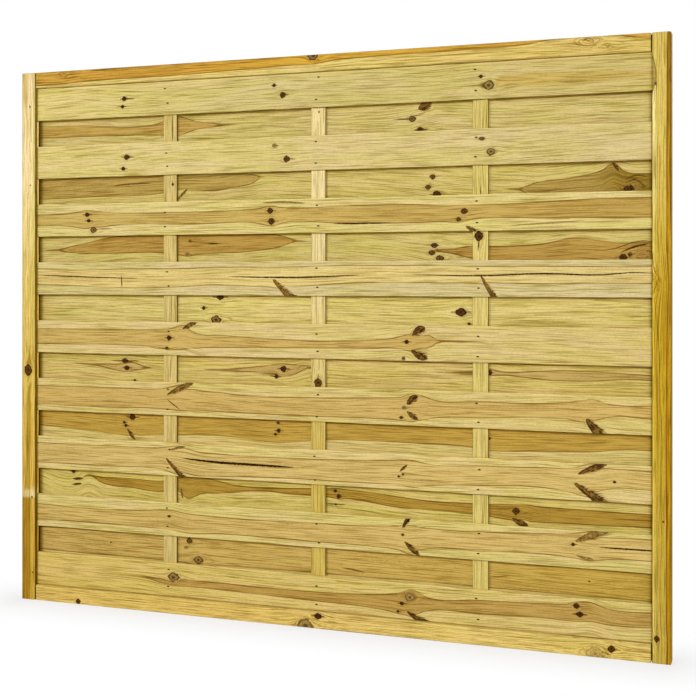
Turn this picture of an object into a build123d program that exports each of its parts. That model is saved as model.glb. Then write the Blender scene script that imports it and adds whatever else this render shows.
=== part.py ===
from build123d import *
import os

# Framed privacy fence panel of treated pine, 1.8 m long and 1.5 m high.
#
# Two stiles and two rails of square timber make the frame. The rails are tenoned into blind mortises
# in the stiles. Each stile has two stopped grooves in its inner face, one for the front slats and one
# for the back slats, with a tongue left between them. Three upright battens, as thick as that tongue,
# stand in slots in the rails, and the slats lie flat on both sides of them. The front slats leave gaps
# as they go up, and each back slat covers one gap, so that air passes and the view doesn't.
#
# Units are millimetres. X runs along the panel from the left stile's outer face, Y from front to back
# with the middle of the timber at 0, and Z up from the panel's lower edge.

# Driving dimensions.
panel_length = 1800.0
panel_height = 1500.0
frame_width = 44.0
frame_depth = 44.0
frame_edge_radius = 3.0

slat_width = 92.0
slat_thickness = 8.0
slat_edge_radius = 1.2
front_slat_count = 9
slat_to_rail_gap = 1.0

batten_width = 40.0
batten_thickness = 8.0
batten_edge_radius = 0.8
batten_count = 3
batten_pitch = 435.0

groove_depth = 12.0
groove_clearance = 0.4
slat_end_gap = 2.0

tenon_length = 28.0
tenon_height = 30.0
tenon_thickness = 14.0
batten_slot_depth = 12.0
joint_clearance = 0.2
joint_end_gap = 1.5

# Places that follow from them.
rail_length = panel_length - 2 * frame_width
opening_bottom = frame_width
opening_top = panel_height - frame_width
slat_pitch = (opening_top - opening_bottom - 2 * slat_to_rail_gap - slat_width) / (front_slat_count - 1)
slat_length = rail_length + 2 * (groove_depth - slat_end_gap)
slat_centre_y = (batten_thickness + slat_thickness) / 2


def rounded_bar(length, depth, height, radius, along):
    """A straight bar centred on the origin, with its four edges along one axis eased."""
    bar = Box(length, depth, height)
    return fillet(bar.edges().filter_by(along), radius)


def slat_groove(side):
    """The cutter for one slat groove of the left stile, between the rails. side is -1 for the front."""
    width = slat_thickness + groove_clearance
    centre_y = side * (batten_thickness + width) / 2
    cutter = Box(groove_depth, width, opening_top - opening_bottom)
    return Pos(frame_width - groove_depth / 2, centre_y, panel_height / 2) * cutter


def rail_mortise(centre_z):
    """The cutter for the blind mortise that takes a rail's tenon in the left stile."""
    depth = tenon_length + joint_end_gap
    cutter = Box(depth, tenon_thickness + 2 * joint_clearance, tenon_height + 2 * joint_clearance)
    return Pos(frame_width - depth / 2, 0, centre_z) * cutter


def left_stile():
    """The upright at the left, with its grooves and mortises in the face towards +X."""
    stile = rounded_bar(frame_width, frame_depth, panel_height, frame_edge_radius, Axis.Z)
    stile = Pos(frame_width / 2, 0, panel_height / 2) * stile
    stile -= slat_groove(-1)
    stile -= slat_groove(1)
    stile -= rail_mortise(frame_width / 2)
    stile -= rail_mortise(panel_height - frame_width / 2)
    return stile


def right_stile():
    """The left stile mirrored about the middle of the panel."""
    middle = Plane.YZ.offset(panel_length / 2)
    return mirror(left_stile(), about=middle)


def batten_centre(index):
    """The X of a batten's middle, the battens being spread evenly about the panel's middle."""
    return panel_length / 2 + (index - (batten_count - 1) / 2) * batten_pitch


def batten_slot(index, rail_face_z, inward):
    """The cutter for a batten's end in a rail. inward is 1 where the rail lies below its own face."""
    slot = Box(
        batten_width + 2 * joint_clearance,
        batten_thickness + 2 * joint_clearance,
        batten_slot_depth,
    )
    return Pos(batten_centre(index), 0, rail_face_z - inward * batten_slot_depth / 2) * slot


def rail(centre_z, rail_face_z, inward):
    """A rail between the stiles, with a tenon at each end and a slot for each batten."""
    bar = rounded_bar(rail_length, frame_depth, frame_width, frame_edge_radius, Axis.X)
    tongue = Box(rail_length + 2 * tenon_length, tenon_thickness, tenon_height)
    made = Pos(panel_length / 2, 0, centre_z) * (bar + tongue)
    for index in range(batten_count):
        made -= batten_slot(index, rail_face_z, inward)
    return made


def batten(index):
    """An upright batten, let into both rails by its ends."""
    height = opening_top - opening_bottom + 2 * (batten_slot_depth - joint_end_gap)
    bar = rounded_bar(batten_width, batten_thickness, height, batten_edge_radius, Axis.Z)
    return Pos(batten_centre(index), 0, panel_height / 2) * bar


def front_slat_centre(row):
    """The Z of a front slat's middle, row 0 being the highest."""
    return opening_top - slat_to_rail_gap - slat_width / 2 - row * slat_pitch


def slat(side, centre_z):
    """A slat with its ends in the stiles' grooves. side is -1 for the front and 1 for the back."""
    board = rounded_bar(slat_length, slat_thickness, slat_width, slat_edge_radius, Axis.X)
    return Pos(panel_length / 2, side * slat_centre_y, centre_z) * board


def build():
    """Every piece of the panel by the name of its node."""
    parts = {
        "left_stile": left_stile(),
        "right_stile": right_stile(),
        "top_rail": rail(panel_height - frame_width / 2, opening_top, -1),
        "bottom_rail": rail(frame_width / 2, opening_bottom, 1),
    }
    for index in range(batten_count):
        parts[f"batten_{index + 1}"] = batten(index)
    for row in range(front_slat_count):
        parts[f"front_slat_{row + 1}"] = slat(-1, front_slat_centre(row))
    for row in range(front_slat_count - 1):
        gap_centre = front_slat_centre(row) - slat_pitch / 2
        parts[f"back_slat_{row + 1}"] = slat(1, gap_centre)
    return parts


os.makedirs("parts", exist_ok=True)
for name, piece in build().items():
    export_step(piece, f"parts/{name}.step")
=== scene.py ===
import math
from functools import reduce

import bpy
import numpy as np
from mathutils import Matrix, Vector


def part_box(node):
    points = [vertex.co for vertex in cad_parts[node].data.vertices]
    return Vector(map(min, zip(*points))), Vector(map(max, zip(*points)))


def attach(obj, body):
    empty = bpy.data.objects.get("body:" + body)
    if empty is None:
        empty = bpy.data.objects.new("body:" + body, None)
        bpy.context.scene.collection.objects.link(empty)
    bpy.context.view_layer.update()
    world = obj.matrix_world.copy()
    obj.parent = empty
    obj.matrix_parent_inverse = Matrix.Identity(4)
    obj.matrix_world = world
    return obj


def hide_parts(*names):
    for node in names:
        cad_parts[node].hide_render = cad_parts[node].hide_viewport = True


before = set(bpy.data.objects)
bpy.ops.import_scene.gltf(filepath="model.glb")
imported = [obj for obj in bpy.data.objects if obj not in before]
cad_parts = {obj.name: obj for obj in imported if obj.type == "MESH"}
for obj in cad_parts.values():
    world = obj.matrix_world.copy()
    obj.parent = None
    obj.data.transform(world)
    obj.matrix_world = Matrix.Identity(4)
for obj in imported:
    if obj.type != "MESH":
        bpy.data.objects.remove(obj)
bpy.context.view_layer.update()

# The timbers' lengths are in millimetres, as on a cutting list, and each mesh is turned into metres
# when it is made. The view and the studio are in metres. X runs along the panel, Y from front to
# back and Z up.
MM = 0.001


# The view. The eye is level, 3 m in front of the panel, past its right stile and a little above
# half its height.
def put_in_scene(name, data):
    """A new object of the scene, which holds a camera, a lamp or a mesh."""
    thing = bpy.data.objects.new(name, data)
    bpy.context.scene.collection.objects.link(thing)
    return thing


camera_data = bpy.data.cameras.new("camera")
camera_data.sensor_width = 36.0
camera_data.lens = 63.23
camera_data.shift_y = -0.1006
camera = put_in_scene("camera", camera_data)
camera.location = (2.048, -3.002, 0.916)
camera.rotation_euler = (math.radians(90), 0, math.radians(19.56))
bpy.context.scene.camera = camera
bpy.context.scene.view_settings.view_transform = "Standard"


# The studio. A pale floor that fades to white, two soft lamps in front and above, one to the right
# and one to the left, another behind, and an even white surround.
class Wire:
    """A socket of a material's node tree. Arithmetic on it adds the Math node that does the sum, and
    node() adds any other node."""

    def __init__(self, tree, socket=None):
        self.tree = tree
        self.socket = socket

    def node(self, kind, settings=None, inputs=None, output=0):
        made = self.tree.nodes.new("ShaderNode" + kind)
        for key, value in (settings or {}).items():
            setattr(made, key, value)
        for key, value in (inputs or {}).items():
            if isinstance(value, Wire):
                self.tree.links.new(value.socket, made.inputs[key])
            else:
                made.inputs[key].default_value = value
        return Wire(self.tree, made.outputs[output])

    def other(self, output):
        """Another output of the node that this socket is on."""
        return Wire(self.tree, self.socket.node.outputs[output])

    def calc(self, operation, *others):
        """This number and the others, put through a Math node."""
        return self.node("Math", {"operation": operation}, dict(enumerate((self, *others))))

    def __add__(self, value):
        return self.calc("ADD", value)

    def __sub__(self, value):
        return self.calc("SUBTRACT", value)

    def __rsub__(self, value):
        return self.node("Math", {"operation": "SUBTRACT"}, {0: value, 1: self})

    def __mul__(self, value):
        return self.calc("MULTIPLY", value)

    def __truediv__(self, value):
        return self.calc("DIVIDE", value)

    __radd__ = __add__
    __rmul__ = __mul__

    def __abs__(self):
        return self.calc("ABSOLUTE")

    def least(self, value):
        return self.calc("MINIMUM", value)

    def most(self, value):
        return self.calc("MAXIMUM", value)

    def hypot(self, value):
        """The square root of the sum of the two numbers' squares."""
        return (self * self + value * value).calc("SQRT")

    def rise(self, low, high):
        """0 up to low, 1 from high on, and a smooth step between them."""
        settings = {"interpolation_type": "SMOOTHSTEP"}
        return self.node("MapRange", settings, {0: self, 1: low, 2: high, 3: 0.0, 4: 1.0})

    def parts(self):
        """The three numbers of a vector or a colour."""
        first = self.node("SeparateXYZ", None, {0: self})
        return first, first.other(1), first.other(2)

    def times(self, vector):
        """This vector or colour, multiplied number by number."""
        return self.node("VectorMath", {"operation": "MULTIPLY"}, {0: self, 1: vector})

    def scaled(self, factor):
        """This vector or colour, multiplied by one number."""
        return self.node("VectorMath", {"operation": "SCALE"}, {0: self, "Scale": factor})

    def between(self, first, second):
        """The mix of two colours that has this number as its factor."""
        return self.node("Mix", {"data_type": "RGBA"}, {0: self, 6: first, 7: second}, 2)

    def toward(self, colour, factor):
        """This colour, mixed with another one by the factor."""
        return factor.between(self, colour)

    def noise(self, stretch, detail=2.0, roughness=0.5):
        """Smooth noise around 0.5 at this place, whose grains are stretch long in each direction."""
        place = self.times(tuple(1 / s for s in stretch))
        look = {"Scale": 1.0, "Detail": detail, "Roughness": roughness}
        return self.node("TexNoise", None, {"Vector": place, **look})


def new_material(name):
    """An empty material, and a wire with no socket to start its nodes from."""
    material = bpy.data.materials.new(name)
    material.use_nodes = True
    material.node_tree.nodes.clear()
    return material, Wire(material.node_tree)


def show(start, shader):
    """Connects the last shader to the material's output."""
    output = start.tree.nodes.new("ShaderNodeOutputMaterial")
    start.tree.links.new(shader.socket, output.inputs["Surface"])


def seen_ray(start):
    """1 on a ray from the camera, also by way of a gloss or through glass, and 0 on other light."""
    path = start.node("LightPath")
    return path.most(path.other(3)).most(path.other(6))


panel_middle = (0.9, 0.0, 0.8)
half_length = 0.9
floor_half = 9.0
fade_from, fade_to = -0.4, 0.25

floor_mesh = bpy.data.meshes.new("floor")
floor_corners = [
    (panel_middle[0] + x * floor_half, y * floor_half, 0.0)
    for x, y in ((-1, -1), (1, -1), (1, 1), (-1, 1))
]
floor_mesh.from_pydata(floor_corners, [], [(0, 1, 2, 3)])
floor = put_in_scene("floor", floor_mesh)

floor_finish, start = new_material("pale_floor")
along, behind, _ = start.node("TexCoord", None, None, 3).parts()
beside = (abs(along - panel_middle[0]) - half_length).most(0.0)
fade = beside.hypot(behind).rise(fade_from, fade_to) * seen_ray(start)
matt = start.node("BsdfDiffuse", None, {"Color": (0.9, 0.9, 0.9, 1)})
white = start.node("Emission", None, {"Color": (1, 1, 1, 1), "Strength": 1.0})
show(start, start.node("MixShader", None, {0: fade, 1: matt, 2: white}))
floor_mesh.materials.append(floor_finish)


def soft_lamp(name, place, target, size, power):
    """A square area lamp at place, turned to shine at target."""
    data = bpy.data.lights.new(name, "AREA")
    data.shape = "SQUARE"
    data.size = size
    data.energy = power
    lamp = put_in_scene(name, data)
    lamp.location = place
    direction = np.array(target) - np.array(place)
    level = math.hypot(direction[0], direction[1])
    lamp.rotation_euler = (
        math.atan2(level, -direction[2]),
        0,
        math.atan2(direction[1], direction[0]) - math.pi / 2,
    )


soft_lamp("key", (3.0, -5.2, 2.6), panel_middle, size=1.0, power=145)
soft_lamp("fill", (-1.9, -5.2, 2.8), panel_middle, size=1.2, power=125)
soft_lamp("back", (1.2, 3.8, 3.0), panel_middle, size=2.6, power=107)

world = bpy.data.worlds.new("surround")
bpy.context.scene.world = world
world.use_nodes = True
world.node_tree.nodes.clear()
sky = Wire(world.node_tree)
ambient = sky.node("Background", None, {"Color": (1, 1, 1, 1), "Strength": 0.14})
backdrop = sky.node("Background", None, {"Color": (1, 1, 1, 1), "Strength": 1.0})
mixed = sky.node("MixShader", None, {0: seen_ray(sky), 1: ambient, 2: backdrop})
world_output = world.node_tree.nodes.new("ShaderNodeOutputWorld")
world.node_tree.links.new(mixed.socket, world_output.inputs["Surface"])


# The stiles. The two uprights at the ends are square pine, planed, with eased edges. Their inner
# faces have two stopped grooves for the slats' ends, and a blind mortise for each rail.
groove_depth = 12.0
groove_width = 8.4
tongue_width = 8.0
mortise_depth = 29.5
mortise_width = 14.4
mortise_height = 30.4
frame_radius = 3.0
end_ease = 1.0

# How closely the meshes' points lie, and how thick the step is at the top of a groove's wall.
face_spacing = 4.0
side_spacing = 6.0
row_spacing = 10.0
fine_spacing = 2.4
wall = 0.02
hair = wall / 2

# Wood colours. Then the painted shade, brown, on faces turned away from the lamps; a deeper painted
# shade in the darkest recesses and under the slats; a painted highlight on the tongues' edges; and
# the painted shade at the joints. The pith's depth under the front face is this one where a board
# doesn't give its own.
sap_colour = (0.74, 0.585, 0.235)
heart_colour = (0.62, 0.43, 0.13)
pith_depth = 2.5
painted_shade_brown = (0.36, 0.3, 0.06)
deep_painted_shade = (0.17, 0.1, 0.012)
painted_highlight_pale = (1.6, 1.6, 1.2)
joint_shade = np.array([0.5, 0.56, 0.85])


def size_of(node):
    """The middle and the half size of a node's box, in millimetres."""
    low, high = (np.array(corner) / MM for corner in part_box(node))
    return (low + high) / 2, (high - low) / 2


def crowded(first, last, coarse, fine, spots):
    """Places from first to last along a timber. There are 1/coarse of them to the millimetre, rising
    to 1/fine as a bell over each spot (place, reach); the density is summed and read backwards."""
    x = np.linspace(first, last, 6000)
    bell = np.zeros_like(x)
    for place, reach in spots:
        bell = np.maximum(bell, np.exp(-(((x - place) / reach) ** 2)))
    density = 1 / coarse + (1 / fine - 1 / coarse) * bell
    steps = (density[1:] + density[:-1]) / 2 * np.diff(x)
    total = np.concatenate([[0.0], np.cumsum(steps)])
    count = int(math.ceil(total[-1])) + 1
    return np.interp(np.linspace(0, total[-1], count), total, x)


def crowded_with(stops, first, last, coarse, fine, spots):
    """The same places with the stops put among them, and none within 0.3 mm of a stop."""
    u = crowded(first, last, coarse, fine, spots)
    u = u[np.abs(u[:, None] - stops).min(1) > 0.3]
    return np.union1d(u, stops)


def carried(u, v, w):
    """The outline (v, w) repeated at each place u."""
    return np.tile(v, (len(u), 1)), np.tile(w, (len(u), 1))


def outline(half_v, half_w, radius, front, back, plus, minus):
    """The closed outline of a squared timber, with v across its front face and w through it: straight
    along the four faces at the given places, and a quarter circle of the radius at each corner."""
    turn = np.linspace(0, np.pi / 2, 5)[1:-1]
    v_end, w_end = half_v - radius, half_w - radius
    v = [front, v_end + radius * np.sin(turn), np.full(len(plus), half_v)]
    v += [v_end + radius * np.cos(turn), back[::-1], -v_end - radius * np.sin(turn)]
    v += [np.full(len(minus), -half_v), -v_end - radius * np.cos(turn)]
    w = [np.full(len(front), -half_w), -w_end - radius * np.cos(turn), plus]
    w += [w_end + radius * np.sin(turn), np.full(len(back), half_w), w_end + radius * np.cos(turn)]
    w += [minus[::-1], -w_end - radius * np.sin(turn)]
    return np.concatenate(v), np.concatenate(w)


def spread(half, spacing, extra=()):
    """Even places from -half to half about spacing apart, with the extra ones added."""
    even = np.linspace(-half, half, int(round(2 * half / spacing)) + 1)
    return np.union1d(even, extra)


def curve(x, points, column):
    """A smooth line through the points (place, value, value ...), read at x: between two points it is
    the cubic whose slopes are the slopes of the chords on either side."""
    table = np.array(points, float)
    at, value = table[:, 0], table[:, column]
    slope = np.gradient(value, at)
    i = np.clip(np.searchsorted(at, x) - 1, 0, len(at) - 2)
    gap = at[i + 1] - at[i]
    t = np.clip((x - at[i]) / gap, 0, 1)
    rise = 3 * t**2 - 2 * t**3
    bend = (t**3 - 2 * t**2 + t) * slope[i] + (t**3 - t**2) * slope[i + 1]
    return value[i] * (1 - rise) + value[i + 1] * rise + gap * bend


# What a board says of its timber, with places along it and heights over its middle:
#   heart: place, height and half width of the heartwood in the face; negative where it stays below
#   pith: how deep the pith lies under the front face, or over it where it is outside the board
#   knots: place, height, radius and darkness of each round knot
#   spikes: both ends' place and height, then radius and darkness, of each branch along the face
#   streaks: line, half width and darkness of each dark streak; splits: line, half width and depth
#   bands: first and last place, height, reach and factor of a stretch that is lighter or darker
#   sapwood and heartwood: one colour, or colours at places; outlined: how dark the heartwood's edge is


def branches(board, half_w):
    """Each knot as a branch in the timber: its two ends, its radius, its darkness, how much longer
    than wide it is, and its form. A round knot runs from the front face to the back one, and is a
    little longer along the grain; a swirl with no knot in it (darkness 0) is much longer. A branch
    along the face is a leaf, or a wedge where it runs out past the slat's edge."""
    slat_half = size_of("front_slat_1")[1][2]
    found = []
    for u, v, radius, dark in board.get("knots", []):
        ends = np.array([(u, v, -half_w), (u + half_w * 0.5, v, half_w)], float)
        longer = 2.3 if dark == 0 else 1.36 - 0.25 * dark + 0.1 * np.sin(u)
        found.append((ends[0], ends[1], radius, dark, longer, "round"))
    for u0, v0, u1, v1, radius, dark in board.get("spikes", []):
        depth = -half_w + min(1.0, radius * 0.15)
        ends = np.array([(u0, v0, depth), (u1, v1, depth)], float)
        form = "wedge" if abs(v1) > slat_half + 0.5 else "leaf"
        found.append((ends[0], ends[1], radius, dark, 1.0, form))
    return sorted(found, key=lambda branch: min(branch[0][0], branch[1][0]))


def branch_radius(t, radius, form, half_w):
    """The radius of a branch at t of its length. A leaf swells from a point and closes again, as
    sin^0.6 of the turn with its widest place past the middle. A wedge widens as t^0.42 to its end. A
    round knot in a thick timber narrows."""
    t = np.clip(t, 0, 1)
    if form == "leaf":
        return radius * np.sin(np.pi * t**1.25) ** 0.6 + 0.05
    if form == "wedge":
        return radius * 1.35 * t**0.42 + 0.05
    return radius * (1 - t * (0.0 if half_w < 10 else 0.6))


def share_out(spans, count, room):
    """Puts spans (first, last, reach) along the timber into channels, so that no two of one channel
    come nearer each other than their reaches times room. Returns a list of places in spans for each."""
    channels = [[] for _ in range(count)]
    for index, (first, last, reach) in enumerate(spans):
        free = []
        for channel in channels:
            before = spans[channel[-1]] if channel else (0, -1e6, 0)
            free.append(first - before[1] - room * (reach + before[2]))
        best = next((c for c, gap in enumerate(free) if gap > 0), int(np.argmax(free)))
        channels[best].append(index)
    return channels


def chosen(u, channel, spans):
    """For each u the place in the channel's list of the span that is nearest, split half way between."""
    middles = [(spans[a][1] + spans[b][0]) / 2 for a, b in zip(channel, channel[1:])]
    return np.searchsorted(np.array(middles), u)


def log_place(u, v, w, half_w, board, found):
    """The place along the log and from its pith, pushed aside round each branch by radius^2 over
    distance^2, as water round a stone; the fourth number is the heartwood's radius at that place."""
    middle = curve(u, board["heart"], 1)
    half = curve(u, board["heart"], 2)
    depth = board.get("pith", pith_depth)
    radius = np.sqrt(np.maximum(depth**2 + half * np.abs(half), 0.01))
    v_log, w_log = v - middle, w + half_w - depth
    for start, end, widest, dark, longer, form in found:
        axis = end - start
        t = (u - start[0]) * axis[0] + (v - start[1]) * axis[1] + (w - start[2]) * axis[2]
        t = np.clip(t / (axis @ axis), 0, 1)
        r = branch_radius(t, widest, form, half_w)
        off_u, off_v, off_w = (p - start[i] - t * axis[i] for i, p in enumerate((u, v, w)))
        push = r**2 / ((off_u / 2.2) ** 2 + off_v**2 + off_w**2 + 0.4 * r**2 + 0.01)
        push = push * (1.0 if form == "round" else 0.6)
        v_log = v_log - off_v * push
        w_log = w_log - off_w * push
    return np.stack([u, v_log, w_log, radius], 1)


# The strength at which a swirl of darkness 0 is stored, so that it differs from no knot at all, how
# many of its reaches away a knot is still read, and an offset that is out of reach of everything.
swirl_strength = 0.25
knot_room = 3.0
far = 9.0


def branch_fields(u, v, w, half_w, found):
    """knot_a to knot_d: the two offsets from the line of the nearest branch of that channel, its
    radius there, which is negative for a leaf or a wedge, and its strength. The second offset of
    those is across the face, towards +u."""
    spans = [
        (min(start[0], end[0]), max(start[0], end[0]), widest * longer)
        for start, end, widest, dark, longer, form in found
    ]
    fields = {}
    for letter, channel in zip("abcd", share_out(spans, 4, knot_room)):
        field = np.zeros((len(u), 4))
        field[:, 2] = 1.0
        pick = chosen(u, channel, spans)
        for order, index in enumerate(channel):
            start, end, widest, dark, longer, form = found[index]
            mine = pick == order
            p = np.stack([u, v, w], 1)[mine] - start
            length = np.linalg.norm(end - start)
            axis = (end - start) / length
            side = np.cross(axis, (0, 0, 1) if abs(axis[2]) < 0.7 else (0, 1, 0))
            side = side / np.linalg.norm(side)
            t = p @ axis / length
            first, last, reach = spans[index]
            gap = np.maximum(first - u[mine], u[mine] - last)
            near = np.clip(knot_room - gap / reach, 0, 1)
            field[mine, 0] = p @ side / longer
            field[mine, 1] = p @ np.cross(axis, side)
            field[mine, 2] = branch_radius(t, widest, form, half_w)
            field[mine, 3] = near * (swirl_strength + (1 - swirl_strength) * dark)
            if form != "round":
                field[mine, :2] = field[mine, 1::-1] * np.sign(side[0])
                field[mine, 2] *= -1
        fields["knot_" + letter] = field
    return fields


def streak_fields(u, v, w, board):
    """streak_a and streak_b: the offset from a streak's line, its half width there, which swells
    from nothing and closes again as a half circle, and its darkness. Streaks are on the front only."""
    streaks = sorted(board.get("streaks", []), key=lambda streak: streak[0][0][0])
    spans = [(line[0][0], line[-1][0], width) for line, width, dark in streaks]
    fields = {}
    for letter, channel in zip("ab", share_out(spans, 2, 1.0)):
        field = np.zeros((len(u), 4))
        field[:, 0] = far
        pick = chosen(u, channel, spans)
        for order, index in enumerate(channel):
            line, width, dark = streaks[index]
            mine = pick == order
            first, last, _ = spans[index]
            t = np.clip((u[mine] - first) / (last - first), 0, 1)
            field[mine, 0] = v[mine] - curve(u[mine], line, 1)
            field[mine, 1] = width * np.sqrt(4 * t * (1 - t)) * (w[mine] < 0)
            field[mine, 2] = dark
        fields["streak_" + letter] = field
    return fields


def colour_fields(u, v, w, board):
    """sapwood and heartwood: the two wood colours along the timber. Both are multiplied by the last
    of the board's tints that holds at a place, by 1 - joint_shade under a bell at each joint, and by
    each band's factor where (offset / reach)^4 is small. The fourth numbers are the board's seed and
    how dark the heartwood's edge is drawn."""
    tint = np.ones((len(u), 3))
    for where, factor in board["tints"](u, v, w):
        tint[where] = factor
    for joint, reach in board.get("joints", []):
        tint *= 1 - np.exp(-(((u - joint) / reach) ** 2))[:, None] * joint_shade
    for first, last, centre, reach, factor in board.get("bands", []):
        inside = np.clip((u - first) / 30, 0, 1) * np.clip((last - u) / 30, 0, 1)
        inside = inside * np.exp(-(np.abs((v - centre) / reach) ** 4)) * (w < 0)
        tint *= 1 + inside[:, None] * (np.array(factor) - 1)
    fields = {}
    for name, default, fourth in (
        ("sapwood", sap_colour, board["seed"]),
        ("heartwood", heart_colour, board.get("outlined", 0.85)),
    ):
        stops = board.get(name, default)
        if not isinstance(stops, list):
            stops = [(0, stops)]
        at = [place for place, colour in stops]
        colours = np.array([colour for place, colour in stops], float)
        field = np.stack([np.interp(u, at, colours[:, i]) for i in range(3)], 1) * tint
        fields[name] = np.concatenate([field, np.full((len(u), 1), fourth)], 1)
    return fields


def wood_fields(u, v, w, half_w, board):
    """All that the timber's finish reads at each point, as in the log that the board was sawn from."""
    found = branches(board, half_w)
    return {
        "grain": log_place(u, v, w, half_w, board, found),
        **branch_fields(u, v, w, half_w, found),
        **streak_fields(u, v, w, board),
        **colour_fields(u, v, w, board),
    }


def closed_bar(name, to_panel, u, v, w, board, half_w):
    """A timber as one closed mesh. Its outline (v, w) is carried along u, with one row of points for
    each place; each end closes through three smaller outlines to a point, and its edge is eased."""
    half_v = np.abs(v).max()
    ease = np.array([1 - end_ease / half_v, 1 - end_ease / half_w])
    shrink = [ease * 0.4, ease * 0.8, ease]
    u_rows = np.concatenate([[u[0]] * 3, [u[0] + end_ease], u[1:-1], [u[-1] - end_ease], [u[-1]] * 3])
    v_rows = np.concatenate([[v[0] * s[0] for s in shrink], v, [v[-1] * s[0] for s in shrink[::-1]]])
    w_rows = np.concatenate([[w[0] * s[1] for s in shrink], w, [w[-1] * s[1] for s in shrink[::-1]]])
    rows, across = v_rows.shape
    flat_u = np.concatenate([np.repeat(u_rows, across), [u[0], u[-1]]])
    flat_v = np.concatenate([v_rows.ravel(), [0, 0]])
    flat_w = np.concatenate([w_rows.ravel(), [0, 0]])
    points = np.stack(to_panel(flat_u, flat_v, flat_w), 1) * MM

    index = np.arange(rows * across).reshape(rows, across)
    beside = np.roll(index, -1, axis=1)
    quads = np.stack([index[:-1], beside[:-1], beside[1:], index[1:]], 2).reshape(-1, 4)
    low_end = np.stack([np.full(across, rows * across), beside[0], index[0]], 1)
    high_end = np.stack([np.full(across, rows * across + 1), index[-1], beside[-1]], 1)
    triangles = np.concatenate([low_end, high_end])
    a, b, c, d = (points[quads[:, i]] for i in range(4))
    volume = np.einsum("ij,ij->", a, np.cross(b, c)) + np.einsum("ij,ij->", a, np.cross(c, d))
    if volume < 0:
        quads, triangles = quads[:, ::-1], triangles[:, ::-1]

    mesh = bpy.data.meshes.new(name)
    mesh.vertices.add(len(points))
    mesh.vertices.foreach_set("co", points.ravel())
    mesh.loops.add(quads.size + triangles.size)
    mesh.loops.foreach_set("vertex_index", np.concatenate([quads.ravel(), triangles.ravel()]))
    mesh.polygons.add(len(quads) + len(triangles))
    starts = np.concatenate([np.arange(len(quads)) * 4, quads.size + np.arange(len(triangles)) * 3])
    mesh.polygons.foreach_set("loop_start", starts)
    mesh.update(calc_edges=True)
    for field, value in wood_fields(flat_u, flat_v, flat_w, half_w, board).items():
        layer = mesh.attributes.new(field, "FLOAT_COLOR", "POINT")
        layer.data.foreach_set("color", value.astype(np.float32).ravel())
    mesh.shade_smooth()
    mesh.set_sharp_from_angle(angle=math.radians(38))
    return put_in_scene(name, mesh)


def read(start, field):
    """A field of the timber's mesh, as a colour; its fourth number is on output 3."""
    return start.node("Attribute", {"attribute_name": field})


def nearest_branches(start, uneven, ragged, fibre):
    """What the four knot fields say together. Of the round knots: the distance over the radius, part
    circle and part lozenge so that the outline is uneven, the strength, and a thin tail along the
    grain. Of the spikes: how far the point is inside one, its strength there, and the place across it
    from -1 to 1."""
    found = []
    for letter in "abcd":
        knot = read(start, "knot_" + letter)
        over, beside, reach = knot.parts()
        strength = knot.other(3)
        size = abs(reach).most(0.3)
        flat = reach.calc("LESS_THAN", 0.0)
        present = strength.rise(0.04, 0.2)

        off = (over.hypot(beside) * 0.7 + (abs(over) + abs(beside)) * 0.3) / size
        off = off * (1 + uneven * 0.9) + ragged * 0.25 + (1 - present + flat) * far
        mine = strength * (1.9 - off).rise(0.0, 0.2)
        lens = (1 - abs(beside) / size * 3.2).least(1.5 - abs(over) / size * 0.55)
        tail = (lens + ragged * 0.5).rise(0.0, 0.5) * strength.rise(0.7, 1.0) * (1 - flat)

        across = beside / size
        blade = (1 + across + ragged * 0.5).rise(-0.05, 0.15)
        blade = blade * (1 - across + (fibre - 0.5) * 2.0).rise(0.0, 0.5)
        blade = blade * (1.15 - abs(over) / size).rise(0.0, 0.3) * flat * present
        side = across * flat * (strength * (1.6 - abs(across))).rise(0.0, 0.02)
        found.append((off, mine, tail, blade, strength * blade, side))
    ways = (Wire.least, Wire.most, Wire.most, Wire.most, Wire.most, Wire.__add__)
    return [reduce(way, values) for way, values in zip(ways, zip(*found))]


# The colours inside a knot, from the palest one to the darkest, and those of its eye, of the black
# rim round it and of the tail that runs out of it.
pale_core = (0.48, 0.33, 0.085, 1)
brown_core = (0.17, 0.075, 0.008, 1)
dark_core = (0.055, 0.015, 0.0008, 1)
eye_brown = (0.04, 0.011, 0.0005, 1)
rim_black = (0.025, 0.007, 0.0004, 1)
tail_brown = (0.07, 0.028, 0.003, 1)


def with_knots(colour, near, strength, tails, ragged):
    """The wood with its round knots: a darker halo, rings about the middle, and the knot itself with
    its eye and rim. Returns the halo too."""
    dark = ((strength - swirl_strength) / (1 - swirl_strength)).most(0.0)
    halo = (1.9 - near).rise(0.0, 0.85)
    colour = colour.toward(colour.times((0.7, 0.55, 0.34)), halo * (0.1 + dark * 0.3))
    colour = colour.toward(tail_brown, tails * 0.8)
    wheel = (near * 16.0).calc("SINE") * 0.5 + 0.5
    ringed = wheel.rise(0.5, 1.0) * halo * (1 - dark) * 0.8
    colour = colour.toward(colour.times((0.55, 0.43, 0.24)), ringed)

    core = dark.rise(0.15, 0.75).between(pale_core, brown_core)
    core = core.toward(dark_core, dark.rise(0.5, 1.0) * 0.8)
    eye = (0.4 - near).rise(0.0, 0.14).most(wheel.rise(0.5, 0.9) * 0.3)
    core = core.toward(eye_brown, eye * (0.6 + dark * 0.4))
    core = core.scaled((0.9 + ragged * 1.5).most(0.1))
    core = core.toward(rim_black, near.rise(0.66, 0.82) * dark.rise(0.0, 0.5) * (0.6 + dark * 0.4))
    return colour.toward(core, (1.1 - near).rise(0.0, 0.1) * dark.rise(0.02, 0.3)), halo


# The flesh of a spike, pale or dark, and the bark along its upper side.
pale_flesh = (0.45, 0.26, 0.05, 1)
dark_flesh = (0.15, 0.062, 0.006, 1)
bark_black = (0.018, 0.005, 0.0006, 1)


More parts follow.
